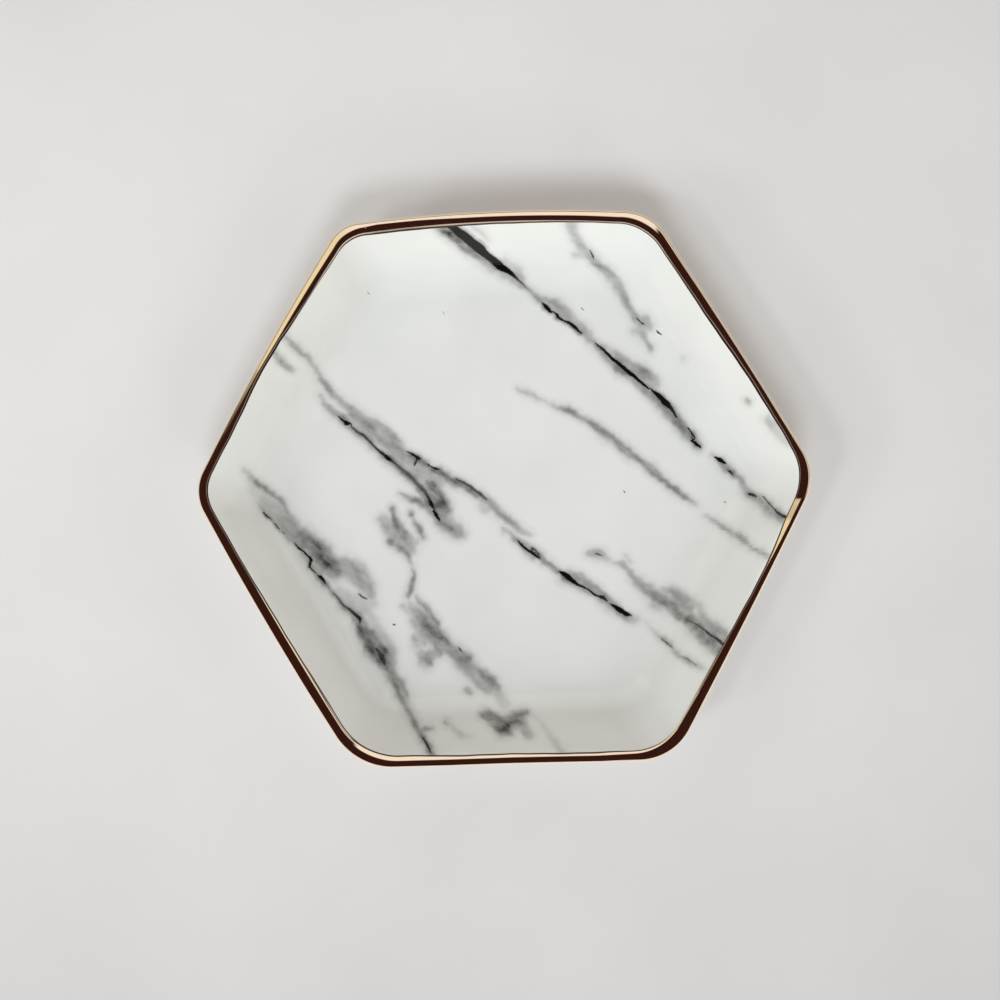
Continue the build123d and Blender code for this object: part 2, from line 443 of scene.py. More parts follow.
# Ink strokes, each a run of (right, down, half width, darkness), in pixels of the photograph and
# hundredths, where a darkness that isn't given is full. They are the crisp cores of the veins.
full_dark = 100
ink_strokes = [
    [(446, 223, 2.4), (452, 227, 3.4), (462.5, 235, 4.4), (471, 241.7, 4.6), (479.7, 249, 4.9),
     (488, 256, 3.4), (500, 266, 4), (508, 271.5, 2.8), (515, 276.5, 1.6, 80), (520, 281.5, 1, 45),
     (525, 286.5, 0.6, 25)],
    [(542.5, 302.5, 0.6), (546.3, 307.7, 2.2), (551.2, 311.9, 1.2)],
    [(554.5, 312.6, 1), (557.4, 314.6, 1.1), (557.6, 317, 1.6), (563.3, 320.4, 0.9),
     (569.3, 322.8, 1.5), (575.4, 327.7, 1.6), (580.5, 332.5, 1)],
    [(596.5, 344, 0.8), (605.7, 351.9, 1.5), (612, 358, 1.7), (621.2, 365.8, 1.6),
     (630.4, 373.5, 2.4), (639.6, 381.1, 1.6), (647.2, 387.2, 1)],
    [(651.5, 390, 1), (659.5, 396.4, 2.6), (667.1, 404.1, 3, 90), (671.5, 409, 1.8, 80),
     (676.3, 416.3, 1.2, 70)],
    [(688, 428, 0.7, 90), (691.5, 432.5, 0.9), (696, 438.5, 0.8, 90)],
    [(692.5, 441, 1.4), (696, 444, 1.8), (699.5, 446.5, 1.2)],
    [(715.9, 457.7, 1.2), (719.5, 459.9, 2.4), (724.4, 462.6, 1.2)],
    [(728.6, 470.4, 0.8, 60), (730.6, 472.4, 1.2, 70), (732.4, 474.4, 0.7, 60)],
    [(658, 331.7, 0.9), (660.5, 333.8, 0.8)],
    [(637.5, 318.5, 0.7, 60), (643, 324, 0.9, 60)],
    [(590, 251.5, 0.8, 60), (593, 256.5, 1.1, 60)],
    [(339, 416.5, 0.7, 70), (343, 420.8, 1.2), (346.5, 423.2, 2.4), (350.5, 424, 1, 80)],
    [(352, 427.5, 1.2, 40), (363.9, 435.9, 1.4, 55), (373, 445, 1.3, 50), (383.4, 454.6, 1.4, 75),
     (388.8, 458.5, 2.2), (392, 461, 1.2, 55), (398, 466, 1.6, 32), (407.3, 473.3, 1.6, 32),
     (417.8, 483.8, 1.8, 30), (425, 491.5, 1.8, 40), (428.6, 498.8, 1.4, 60), (431.4, 504, 2.1),
     (433.5, 508, 1.2, 80)],
    [(433.8, 511.3, 1.2), (436.6, 514.8, 1.9), (439.6, 519.5, 1)],
    [(408, 452, 1, 70), (412.5, 455, 1.3, 80), (417.3, 457.6, 1.7), (420.5, 458.2, 0.9, 80)],
    [(417, 459.5, 1, 70), (414.5, 463.5, 1.3, 60)],
    [(428, 464.6, 0.7, 90), (432.5, 467.3, 1), (436.3, 468.7, 1.6), (440, 469.8, 0.6, 80)],
    [(456, 478.8, 1, 30), (464, 482.5, 1.3, 42), (472, 487.6, 1.5, 48), (480, 493.8, 1.6, 50),
     (486, 499, 1.3, 40)],
    [(519, 541.5, 0.9, 70), (522.5, 545.5, 1.4, 90), (528, 550, 1.1, 90), (533.5, 554.3, 1.7),
     (539.2, 558.6, 0.9)],
    [(531.5, 547.6, 0.9, 70), (535.5, 550, 0.9, 70), (539.5, 555, 0.7, 55)],
    [(560.5, 572.3, 1.4), (563.5, 574, 2.4), (568, 577, 3), (573, 580.7, 2), (577.7, 584.7, 1.1),
     (583.6, 586.8, 1), (590.7, 591.3, 1, 90), (597.8, 595.8, 1.1, 80), (602.5, 597, 2, 75),
     (606, 600.5, 1.2, 70)],
    [(612.5, 605, 1.4, 90), (616, 607.8, 2.2), (621.5, 611.2, 2.5), (627, 614.3, 2.2),
     (629.8, 615, 1.1)],
    [(264.5, 513.3, 0.8), (267, 515.6, 1.1), (270.5, 518.8, 0.5, 60)],
    [(275, 524, 0.5, 50), (277.5, 526.5, 0.8, 80), (279, 528, 0.4, 50)],
    [(283, 532.3, 0.4, 50), (284, 533.3, 0.4, 50)],
    [(294.5, 542.4, 0.5, 30), (299.2, 548.2, 1.3), (303, 551.6, 0.8, 90), (307.5, 555.3, 1.1),
     (311.8, 559.6, 1.4), (310.3, 563, 1.2), (309.5, 567, 1.1, 80), (315, 572.7, 0.8, 40)],
    [(319.8, 576.3, 1.6), (322.3, 578.6, 1.8), (325, 583, 0.8, 80)],
    [(334, 593.8, 0.8, 40), (343.7, 605.3, 1, 40), (353.6, 613, 1.5, 60), (359.8, 618.4, 1.8, 80),
     (360, 622, 1, 50)],
    [(377, 650, 1.4, 40), (381.8, 657.5, 2.6, 48), (384.5, 663, 1.8, 42)],
    [(359.3, 594, 0.8, 55), (363, 597.5, 0.9, 60), (367, 598.8, 0.7, 50)],
    [(423, 738.5, 0.9, 80), (427.5, 746, 1.3, 85), (430.5, 751.5, 0.9, 80)],
    [(506, 723.6, 0.7, 90), (509, 726, 0.9)],
    [(459.5, 648.5, 0.7, 80), (461.3, 651, 0.7, 80)],
    [(691, 621.2, 0.8, 40), (701.6, 627.7, 0.8, 50), (709.8, 634.6, 1.2, 95), (713.3, 636.8, 1),
     (717.5, 639.6, 1.4), (724.3, 645.4, 1, 95)],
    [(596.3, 554, 0.8, 65), (601.3, 555.4, 0.6, 60)],
    [(661.5, 638.5, 0.6, 30), (666.5, 643, 1, 50), (672.5, 648, 0.6, 35)],
    [(683, 656.8, 0.5, 25), (688.5, 659.9, 0.8, 40), (696.5, 665, 0.5, 30)],
    [(749.8, 493.8, 1.1, 90), (752.5, 494.5, 1.5), (755.2, 495.6, 1, 85)],
    [(763.2, 497, 0.7, 60), (767.7, 501.4, 0.8, 60), (772.1, 506.8, 0.9, 65),
     (777.5, 513, 1.2, 80), (784.6, 516.6, 1.6, 95)],
    [(368, 293, 0.4, 60), (368.6, 293.4, 0.4, 60)],
    [(443, 313, 0.4, 50), (443.6, 313.4, 0.4, 50)],
    [(582.5, 308.6, 0.45, 70), (583, 309, 0.45, 70)],
    [(624, 491, 0.5, 80), (624.6, 491.4, 0.5, 80)],
    [(725, 502, 0.4, 60), (725.5, 502.4, 0.4, 60)],
    [(394, 624.4, 0.7, 80), (394.8, 624.8, 0.7, 80)],
]

# Wash strokes, drawn the same way: the grey clouds and halos of thinned ink beside the cores.
wash_strokes = [
    [(436, 223, 3, 56), (446, 230, 5, 82), (457, 239, 5, 62), (467, 247, 5, 60),
     (480, 256.5, 5, 50), (495, 267, 4.5, 45), (509, 276, 4, 40), (522, 286, 2.5, 35)],
    [(472, 227, 1.5, 20), (483, 233, 2, 20), (488, 240, 2, 15)],
    [(505, 262, 4, 20), (517, 270, 4, 22), (522, 280, 3, 30)],
    [(522, 283, 1.6, 50), (533, 292.6, 1.8, 45), (540, 299, 2.4, 45)],
    [(545, 300, 3, 35), (556, 305, 5, 42), (565, 313, 5, 35), (576, 323, 4.5, 35),
     (584, 331, 4, 35), (591, 341, 3, 40), (598, 345, 2, 50)],
    [(604, 347, 2.5, 30), (619, 358, 4.5, 40), (632, 368, 6, 42), (645, 376, 7, 45),
     (653, 384, 6, 35)],
    [(600, 349, 2.8, 56), (620, 368, 3.8, 56), (640, 385, 3.5, 40), (655, 396, 5, 45),
     (668, 409, 6, 50), (680, 424, 5, 55), (690, 436, 5, 55), (699, 446, 4, 40)],
    [(714, 456, 2.5, 30), (722, 463, 3.5, 45), (731, 472, 3.5, 45), (740, 480, 2.2, 40),
     (743.6, 487, 2.5, 40), (751, 495, 3.5, 45), (762, 502, 4.5, 42), (771, 510, 5, 42),
     (779, 516, 5, 45), (788, 521, 4.5, 40)],
    [(571, 223, 5, 25), (574.5, 234, 4.3, 27), (580, 245, 4.3, 30), (588, 254, 4.5, 32),
     (597, 263, 3.4, 42), (605, 270, 3.6, 45), (612, 278, 5, 38), (619, 287, 5, 38),
     (624.3, 299, 4.2, 38), (629, 309, 3.5, 35), (636, 317, 3.5, 42)],
    [(576, 254, 4, 18), (584, 254, 4, 20)],
    [(637, 321, 4, 30), (643, 322, 6, 40), (650, 325.5, 3.5, 28)],
    [(634, 330, 3.5, 25), (642, 331, 4, 25), (644, 340, 2.5, 30), (651.5, 349, 2.4, 32)],
    [(683, 358, 2, 14), (684.5, 359, 2, 14)],
    [(746.5, 399.6, 1.8, 40), (749, 401.5, 1.6, 35)],
    [(768, 419.5, 3.5, 26), (774, 427, 4.5, 24), (781, 435, 4.5, 18), (789, 445, 3.5, 12)],
    [(517, 389, 1.2, 25), (527, 392.5, 1.6, 32), (536, 398, 1.3, 25), (550, 403.5, 1.3, 20),
     (562, 408.5, 2.2, 42), (568, 409.8, 3, 55), (575, 414, 2.1, 45), (583, 418.4, 1.8, 45),
     (596.5, 426.5, 2.6, 55), (606, 434.7, 2.8, 45), (618.2, 443.9, 3, 50), (629, 453.1, 3, 52),
     (640, 461, 3.4, 52), (650, 468, 3.4, 50), (660, 478, 2.7, 50), (672, 488, 2.2, 50),
     (684, 496.5, 1.8, 45), (697, 505, 1.1, 30)],
    [(705, 515.7, 1.2, 20), (718.6, 523.8, 1.6, 38), (723.9, 527.3, 2.4, 42),
     (731.1, 532.7, 2.4, 42), (739.1, 537.1, 2.8, 48), (745.4, 542.5, 2.4, 42),
     (752.5, 547, 2, 40), (760.5, 552.3, 2, 40), (770, 558, 1.8, 35)],
    [(282, 333, 1.8, 35), (295, 346.7, 2, 38), (304, 355, 1.8, 42), (314.4, 367, 1.5, 28),
     (319.5, 375, 2, 30), (322, 381, 2.2, 50), (327, 388, 2.8, 55), (333, 394.5, 2, 50),
     (340, 400, 2.2, 36), (350, 409, 3.5, 40)],
    [(319, 395, 1.5, 30), (328, 407, 2.6, 36), (338, 415, 3, 40), (345, 421, 4, 50),
     (355, 429, 3.5, 50), (366, 438, 3, 50), (378, 450, 3, 50), (390, 460, 4, 55),
     (402, 469, 4, 55), (414, 480, 4.5, 50), (424, 491, 5, 50)],
    [(352, 415, 5, 38), (361, 421, 6.5, 40), (379, 433, 8, 42), (392, 444, 8.6, 42),
     (402, 456, 8, 40), (414, 466, 8, 34), (426, 475, 8, 33), (437, 482, 8, 30)],
    [(344, 405, 1.4, 25), (357.9, 411.4, 1.6, 28), (370, 418, 1.6, 28), (382, 425.6, 1.6, 28),
     (392.6, 433.2, 1.6, 30), (400, 442.5, 1.6, 30)],
    [(410, 455, 3, 50), (418, 460, 4, 54), (430, 467, 3.2, 50), (444.8, 475.6, 3.4, 66),
     (454, 481.4, 3.8, 70), (464.3, 486, 3.2, 64), (474, 491.5, 3, 50), (484, 499, 2.8, 50),
     (496.4, 510, 3.4, 38), (507.3, 519.1, 3.6, 42), (518.2, 529.1, 3.2, 36), (530, 535, 2, 22)],
    [(481, 505, 3.5, 22), (488, 510, 3.5, 22)],
    [(503, 529, 2, 32), (513, 536, 2.2, 32), (520, 542, 2.6, 50), (528, 549.5, 3.6, 60),
     (535, 554, 4.2, 60), (542, 558, 2.8, 50), (551, 565.5, 2.2, 42), (559, 572, 2.4, 45)],
    [(570, 573, 3, 38), (578, 577, 3.8, 48), (588, 584.5, 3.4, 40), (597, 591, 3.6, 50),
     (606, 599, 3.4, 50), (615, 607, 3.2, 50)],
    [(563, 577, 3.5, 60), (575, 585, 2.5, 36), (592, 594, 2, 30), (612, 608, 2.8, 36),
     (627, 617, 4.2, 32), (634, 619, 4.5, 22)],
    [(644, 621, 1, 10), (654, 630, 1.2, 20), (661, 638, 1.6, 36), (668, 644, 2, 42),
     (679, 654.5, 1.5, 30), (688, 660, 2, 38), (696, 665, 1.6, 32), (704, 669.5, 1.1, 15)],
    [(272, 351.5, 1.8, 50), (277, 357, 2.1, 45), (284, 363.5, 2.5, 45), (292, 369.5, 1.4, 30)],
    [(431.8, 482, 1, 50), (436, 492, 3.6, 55), (442, 502, 4.6, 58), (446, 510, 3.6, 52)],
    [(427, 496, 5, 45), (431, 505, 6.5, 50), (439, 515, 6, 42), (446, 523, 6, 42),
     (451, 528, 4, 55), (459, 531, 5.5, 36), (463, 536, 3, 30)],
    [(401.4, 493.4, 1.1, 45), (407.5, 497.5, 1.8, 42), (414.8, 500.6, 2.8, 50),
     (422.5, 504.5, 3.6, 44)],
    [(391.4, 508, 0.9, 60), (394.4, 517, 2.8, 60), (398.4, 527, 4.3, 62), (402.6, 534.6, 4.6, 52),
     (409, 541, 5, 30)],
    [(410, 512.6, 1.4, 50), (410.8, 514.4, 1.4, 50)],
    [(428, 483, 3, 50), (434, 494, 7, 58), (441, 505, 8.5, 60), (445, 513, 6, 48)],
    [(436, 512, 6, 40), (447, 524, 8, 42), (457, 532, 7, 38)],
    [(383, 520, 5, 26), (390, 528, 8, 32), (400, 540, 9, 34), (410, 548, 7, 26)],
    [(412.5, 518, 1.2, 28), (419.2, 529, 2.3, 55), (423, 536.5, 1.8, 42)],
    [(390, 541, 3, 60), (391.5, 542, 3, 60)],
    [(396, 545.5, 2.2, 45), (403, 550, 2.4, 50), (408.3, 555.7, 2, 60), (411.5, 564, 1, 28)],
    [(380.5, 519, 3.4, 22), (387, 531, 4.5, 24), (394, 537, 4.5, 30)],
    [(411, 546, 6, 24), (416, 541, 4, 22)],
    [(412.5, 568, 1, 25), (414.5, 576.4, 1.8, 50), (411, 586, 1.8, 55), (408.3, 596.4, 1.8, 50)],
    [(416.4, 596.4, 1.6, 35), (423.6, 605.5, 2.3, 45), (429.1, 614.5, 2.3, 50),
     (436.8, 624, 3, 46), (441.5, 634, 3.3, 50), (448, 642.5, 2.4, 45), (455, 649.5, 3.4, 32)],
    [(403, 606, 2.4, 20), (411, 616, 2.2, 20), (418, 632, 3, 22), (424, 642, 4, 24)],
    [(412, 609.5, 1.4, 36), (414.5, 610.5, 1.4, 36)],
    [(423.5, 619.5, 2.6, 58), (428, 627, 4, 62), (434.5, 634.5, 4.2, 58), (440.5, 639, 3, 50)],
    [(412, 606, 5, 24), (420, 618, 8, 42), (430, 630, 9, 50), (441, 641, 8, 40), (450, 650, 7, 36)],
    [(416, 640, 4, 30), (419, 650, 5, 14), (426, 660, 7, 40), (433, 654, 6, 34)],
    [(456, 653, 7, 44), (466, 664, 8, 35), (476, 676, 7, 36), (488, 688, 6, 34)],
    [(433, 642, 2.4, 45), (440.5, 654, 2.6, 46), (436, 651, 2, 30)],
    [(414, 637.6, 2.2, 32), (415.5, 640, 2, 28)],
    [(422.5, 658.5, 2.4, 34), (428.5, 664, 3.4, 52)],
    [(458.5, 650, 3, 50), (463.5, 656, 4, 60), (468.6, 660.5, 3.2, 50)],
    [(457, 663, 5, 18), (466, 668, 4, 16)],
    [(472, 666, 3, 36), (479, 672.5, 4, 46), (487.5, 678, 4.6, 54), (494, 683.5, 3.8, 54),
     (497.5, 687.5, 2.4, 45)],
    [(497, 693, 4, 20), (505, 703, 5, 14)],
    [(467, 690, 2.2, 30), (470.5, 692, 2, 32)],
    [(481.3, 714, 1, 50), (490.9, 720, 3, 50), (499, 724.5, 4.6, 54), (507, 725.5, 4.2, 60),
     (514, 719.5, 4, 52), (521.5, 716, 3, 50), (526.5, 712.5, 1.4, 50)],
    [(486, 714, 3.5, 45), (495, 721, 5.5, 52), (504, 727, 8, 66), (507, 731, 5, 62)],
    [(508, 724, 7.5, 55), (516, 719, 7, 50), (523, 714, 4.5, 40)],
    [(521, 722, 5, 32), (529, 736, 4, 22)],
    [(521, 725, 3.4, 28), (527, 734, 3.4, 18)],
    [(530, 712, 1.2, 10), (541, 722, 1.4, 10), (549, 735, 2, 14), (563.6, 752, 2.6, 22)],
    [(244, 470, 1.6, 22), (250, 477, 2.2, 34), (258, 484, 2.6, 44), (267, 490, 2.6, 48),
     (275.5, 496, 1.6, 45), (283.5, 503.5, 1.6, 50), (287.5, 512, 1.6, 45)],
    [(262, 500, 3.5, 22), (271, 507, 6.4, 21), (282, 519, 8.6, 30), (294, 533, 8, 36),
     (304, 546, 8, 38), (314, 560, 8, 36), (321, 570, 6, 36)],
    [(257, 502, 1.2, 30), (265, 513, 1.6, 45), (278, 526, 1.4, 36), (296, 545, 1.4, 36),
     (308, 558, 2, 50), (313, 571, 2, 45), (323, 581, 2.8, 55), (331, 590, 2, 42),
     (343.5, 605, 3, 48), (354, 613.5, 4, 58)],
    [(256, 490, 6, 13), (266, 500, 8, 17), (278, 510, 9, 22), (291, 526, 9, 27)],
    [(304, 535, 7, 50), (316, 550, 10, 58), (327, 562, 9, 60), (336, 572, 7, 52)],
    [(334, 566, 6, 34), (346, 566, 9, 34), (358, 574, 10, 34), (367, 586, 8, 26)],
    [(340, 592, 5, 16), (352, 602, 7, 20), (362, 608, 7, 20), (374, 604, 5, 16)],
    [(357, 616, 4.5, 60), (363, 630, 6, 60), (371, 642, 8, 68), (380, 653, 9, 72),
     (386, 664, 7, 62), (392, 676, 5, 42)],
    [(309.5, 538.5, 3.8, 58), (319.9, 550.5, 5, 60), (329.8, 561, 5, 60), (337.6, 571.5, 3, 66)],
    [(350, 567, 5, 22), (360, 578, 8.5, 30), (368, 589, 6.5, 30), (371, 596, 3, 36)],
    [(359.6, 620, 2.6, 62), (361, 629, 2.6, 56), (366, 638, 3, 58), (373.5, 646, 4, 66),
     (380.5, 656, 4.4, 72), (386, 666, 2.8, 62), (389.5, 674, 2.6, 50), (395, 684, 2.8, 42),
     (399.5, 696, 2.4, 52), (405, 704.5, 2.1, 56), (411, 716, 2.2, 56), (417, 728, 2.4, 60),
     (423, 738, 2.8, 66), (428, 747, 2.6, 70), (432.5, 756, 2.2, 60)],
    [(366, 606, 5, 12), (372, 623, 6, 16), (383, 639, 6.5, 26), (391, 651, 5, 30),
     (392, 664, 3.5, 25)],
    [(395, 680, 3.4, 36), (401.5, 684, 3.4, 42), (405, 692, 3, 32), (408, 705, 3, 28)],
    [(421, 731, 2.4, 42), (427, 730, 2.8, 42), (433, 728.6, 1.2, 34)],
    [(444.8, 723, 1, 40), (446, 724.2, 1, 36)],
    [(450, 726, 1.6, 14), (461, 734.5, 1.8, 20), (470, 737.5, 1.5, 10)],
    [(589, 553, 3.4, 32), (596, 553.5, 4.4, 40), (603, 556, 3.6, 34), (609, 560, 2.4, 20)],
    [(615, 562, 2, 20), (622, 564, 3, 36), (627, 570, 2.6, 30), (633, 577, 3.4, 34),
     (640.4, 583.5, 4.6, 40), (648.5, 590, 5.4, 42), (657, 596.5, 5.4, 50), (665, 602, 5.4, 56),
     (673, 608, 6, 52), (681, 614, 6, 52)],
    [(626, 555.5, 1.2, 20), (631, 562.5, 1.2, 18)],
    [(663, 590, 3, 25), (672, 591, 4, 32), (679, 599, 7.5, 38), (689, 606, 7, 38),
     (697, 606.5, 4, 24), (702, 613, 4, 20)],
    [(656, 603, 5, 30), (662, 608, 4, 26)],
    [(688, 619, 4.8, 60), (697, 626.5, 6.4, 60), (705, 635, 7.4, 56), (713.4, 642, 8, 52),
     (722, 649, 8, 48)],
    [(700, 616, 3.6, 30), (712, 626, 5, 36), (722, 634, 5, 42), (729, 641, 4, 40)],
]

wave_count = 12
wave_spread = (0.7, 1.5)
wave_gain = 2.4


def wander(right, down, length, seed):
    """A smooth random field near -1 to 1: the mean of sine waves about one length, each with its
    own heading and start."""
    draw = np.random.default_rng(seed)
    heading, start = draw.uniform(0, 2 * pi, (2, wave_count))
    waves = 2 * pi / (length * draw.uniform(*wave_spread, wave_count))
    across = right[:, None] * np.cos(heading) + down[:, None] * np.sin(heading)
    return np.sin(across * waves + start).mean(1) * wave_gain


def wandered(right, down, fields):
    """Both coordinates moved by random fields, each given by its length and reach in pixels and
    its seed. The seed is the first coordinate's, and the second's is one more."""
    return [way + sum(reach * wander(right, down, length, seed + order)
                      for length, reach, seed in fields)
            for order, way in enumerate((right, down))]


def nearer(found, best):
    """For each point, whichever of two finds along strokes has its edge nearer."""
    if best is None:
        return found
    return np.where(found[1] - np.abs(found[0]) > best[1] - np.abs(best[0]), found, best)


def along_stroke(stroke, right, down):
    """For each point: its distance from the stroke's line, signed by its side, and the half
    width and darkness there. Of the stroke's runs it takes the one whose edge is nearest."""
    knots = np.array([(*knot, full_dark)[:4] for knot in stroke], float)
    best = None
    for start, end in zip(knots[:-1], knots[1:]):
        run = end[:2] - start[:2]
        out_x, out_y = right - start[0], down - start[1]
        share = np.clip((out_x * run[0] + out_y * run[1]) / (run @ run), 0, 1)
        away = np.hypot(out_x - share * run[0], out_y - share * run[1])
        side = np.where(run[0] * out_y - run[1] * out_x < 0, -1.0, 1.0)
        half, dark = (start[k] + share * (end[k] - start[k]) for k in (2, 3))
        best = nearer(np.stack([side * away, half, dark / full_dark]), best)
    return best


def add_values(piece, name, values):
    """Gives each point of a piece a value, under a name that its material reads."""
    layer = piece.data.attributes.new(name, "FLOAT", "POINT")
    layer.data.foreach_set("value", values.ravel().astype(np.float32))


# Every point of the sheet is set against the strokes, where the camera sees it. Their edges
# wander by about half a pixel, as ink does in wet paper, and the washes' by about two.
right, down = seen_at(print_points)
ink_fields = [(14, 0.45, 1)]
wash_fields = [(22, 1.125, 3), (9, 0.81, 5)]
ink_places = wandered(right, down, ink_fields)
wash_places = wandered(right, down, wash_fields)
ink = None
for stroke in ink_strokes:
    ink = nearer(along_stroke(stroke, *ink_places), ink)
# A wash is laid as its body and as a wide faint bleed, and a core has a halo unless it is a speck.
# Each kind has its pixels past the stroke's half width, the softness of its edge, how much of the
# half width is added to that, and its strength.
body_wash, bleed, halo = (0.6, 2.2, 0.4, 1.0), (3.0, 5.0, 0.4, 0.34), (1.5, 3.0, 0.0, 0.5)
speck_knots = 2
washes = [(stroke, *kind) for kind in (body_wash, bleed) for stroke in wash_strokes]
washes += [(stroke, *halo) for stroke in ink_strokes if len(stroke) > speck_knots]
wash = np.zeros(len(right))
blend_power = 4
for stroke, wider, soft_edge, soft_share, strength in washes:
    side, half, dark = along_stroke(stroke, *wash_places)
    soft = soft_edge + soft_share * half
    rise = np.clip((half + wider + soft - np.abs(side)) / (2 * soft), 0, 1)
    wash += (strength * dark * rise * rise * (3 - 2 * rise)) ** blend_power
wash = wash ** (1 / blend_power)
# The eye reads darkness in even steps, so each is turned into the part of the light it takes.
eye_power = 2.2
wash_most, ink_most = 0.8, 0.95
wash = 1 - (1 - wash_most * np.clip(wash, 0, 1)) ** eye_power
ink[2] = 1 - (1 - ink_most * ink[2]) ** eye_power
veins = {"ink_side": ink[0], "ink_near": np.abs(ink[0]), "ink_half": ink[1], "ink_dark": ink[2],
         "wash": wash}
for name, values in veins.items():
    add_values(printed_marble, name, values)

# Overglaze ceramic print: flat ceramic inks under a last thin flux, so it is as glossy as the
# glaze. Cores are near black with torn edges, washes are thin grey and streaked along the veins,
# which run down to the right.
marble, tree, shader, place = new_material("ceramic_print")
side, near, half, dark, grey = (
    add_node(tree, "Attribute", attribute_name=name).outputs["Fac"] for name in veins)
vein_heading = radians(-37)
streak_size, fray_size, cloud_size = 1.9 * MM, 0.5 * MM, 12 * MM
turned = add_node(tree, "Mapping", {"Vector": place, "Rotation": (0, 0, -vein_heading)})
drawn_out = add_node(tree, "Mapping", {"Vector": turned, "Scale": (0.55, 1, 1)})
streaks = add_node(tree, "TexNoise", {"Vector": drawn_out, "Scale": 1 / streak_size,
                                      "Detail": 5.0, "Roughness": 0.55})
fray = add_node(tree, "TexNoise", {"Vector": place, "Scale": 1 / fray_size, "Detail": 4.0,
                                   "Roughness": 0.65})
clouds = add_node(tree, "TexNoise", {"Vector": place, "Scale": 1 / cloud_size, "Detail": 2.0})
# A core's distance is its signed distance without its sign, which stays exact between the mesh's
# points, but never less than the plain distance less half the spacing of those points. All of
# these are in pixels of the photograph.
half_spacing, torn_reach, core_soft = 1.3, 0.45, 0.7
past = add_node(tree, "Math", {0: near, 1: half_spacing}, operation="SUBTRACT")
plain = add_node(tree, "Math", {0: side}, operation="ABSOLUTE")
away = add_node(tree, "Math", {0: plain, 1: past}, operation="MAXIMUM")
torn = add_node(tree, "MapRange", {"Value": fray, "From Min": noise_low, "From Max": noise_high,
                                   "To Min": -torn_reach, "To Max": torn_reach})
inside = add_node(tree, "Math", {0: half, 1: away}, operation="SUBTRACT")
edge = add_node(tree, "Math", {0: inside, 1: torn}, operation="ADD")
core = add_node(tree, "MapRange", {"Value": edge, "From Min": -core_soft, "From Max": core_soft},
                interpolation_type="SMOOTHSTEP")
core_dark = add_node(tree, "Math", {0: core, 1: dark}, operation="MULTIPLY")
mottle = add_node(tree, "MapRange", {"Value": streaks, "From Min": noise_low,
                                     "From Max": noise_high, "To Min": 0.72, "To Max": 1.26})
cloud = add_node(tree, "Math", {0: grey, 1: mottle}, operation="MULTIPLY", use_clamp=True)
ground = add_node(tree, "ValToRGB", {"Fac": clouds},
                  stops=[(noise_low, "#dcddd8"), (noise_high, "#e1e2dd")])
# Painted light: the white is painted a little lighter up the wall, and lighter towards the far side
# of the sheet.
wall_light_low, wall_light_high, sheet_reach = (floor_level + 1) * MM, (floor_level + 7) * MM, 35 * MM
_, far, up = add_node(tree, "SeparateXYZ", {"Vector": place}).outputs
painted_wall_light = add_node(tree, "MapRange", {"Value": up, "From Min": wall_light_low, "From Max": wall_light_high,
                                      "To Min": 1.0, "To Max": 1.03})
painted_far_light = add_node(tree, "MapRange", {"Value": far, "From Min": -sheet_reach,
                                      "From Max": sheet_reach, "To Min": 1.02, "To Max": 1.08})
painted_light_gain = add_node(tree, "Math", {0: painted_wall_light, 1: painted_far_light}, operation="MULTIPLY")
ground = add_node(tree, "VectorMath", {"Vector": ground, "Scale": painted_light_gain.outputs[0]},
                  operation="SCALE")
washed = add_node(tree, "MixRGB", {"Fac": cloud, "Color1": ground, "Color2": linear("#353634")})
inked = add_node(tree, "MixRGB", {"Fac": core_dark, "Color1": washed, "Color2": linear("#0d0e0c")})
set_inputs(shader, {"Base Color": inked, "Normal": glaze_ripple(tree, place),
                    "Roughness": 0.07, "IOR": 1.5})
printed_marble.data.materials.append(marble)

# ---- Gold line ----
# Bright gold banded on by hand with a brush while the dish turns, over the lip and the print's
# edge, then fired a last time. Its two edges waver, and its face is slightly rounded.
gold_columns = (24, 96)
gold_rows = 36
gold_back_rows = 6
gold_film = 0.03
gold_skin = print_skin + gold_film
gold_low = print_skin - gold_film
gold_outer_run = 2.9
inner_bead, outer_bead = 0.05, 0.3
# How far the gold runs in from the lip's crown, by the heading in degrees round the dish. The
# brush pressed widest along the far side.
gold_widths = [(0, 1.10), (10, 0.60), (20, 0.70), (30, 1.00), (40, 1.25), (50, 1.35), (60, 1.50),
               (70, 1.50), (80, 1.60), (86, 1.80), (95, 1.75), (103, 1.75), (112, 1.80),
               (121, 1.65), (127, 1.60), (136, 1.05), (145, 0.40), (155, 0.45), (168, 0.90),
               (180, 0.90), (190, 1.10), (200, 1.25), (212, 1.35), (225, 1.65), (232, 1.60),
               (240, 1.60), (250, 1.40), (257, 1.20), (267, 1.15), (276, 1.15), (288, 1.15),
               (295, 1.15), (302, 1.20), (315, 1.00), (325, 0.70), (335, 0.45), (345, 0.55),
               (352, 1.00), (357, 1.10)]

# It wavers by sine waves round the dish, each with its count, its reach and its start.
inner_waves = [(7, 0.05, 4.0), (17, 0.04, 0.0), (53, 0.02, 0.0)]
outer_waves = [(4, 0.22, 2.0), (9, 0.12, 1.0)]


def lip_path(run, skin):
    """Apothem and level of points at a run from the lip's crown along a skin, inwards where it
    is negative: round the lip as far as the faces' slopes, then straight down the faces."""
    radius = half_lip + skin
    angle = np.clip(run / radius, -inner_slope, outer_turn)
    rest = run - angle * radius
    apothem = lip_apothem + radius * np.sin(angle) + rest * np.cos(angle)
    return apothem, lip_level + radius * np.cos(angle) - rest * np.sin(angle)


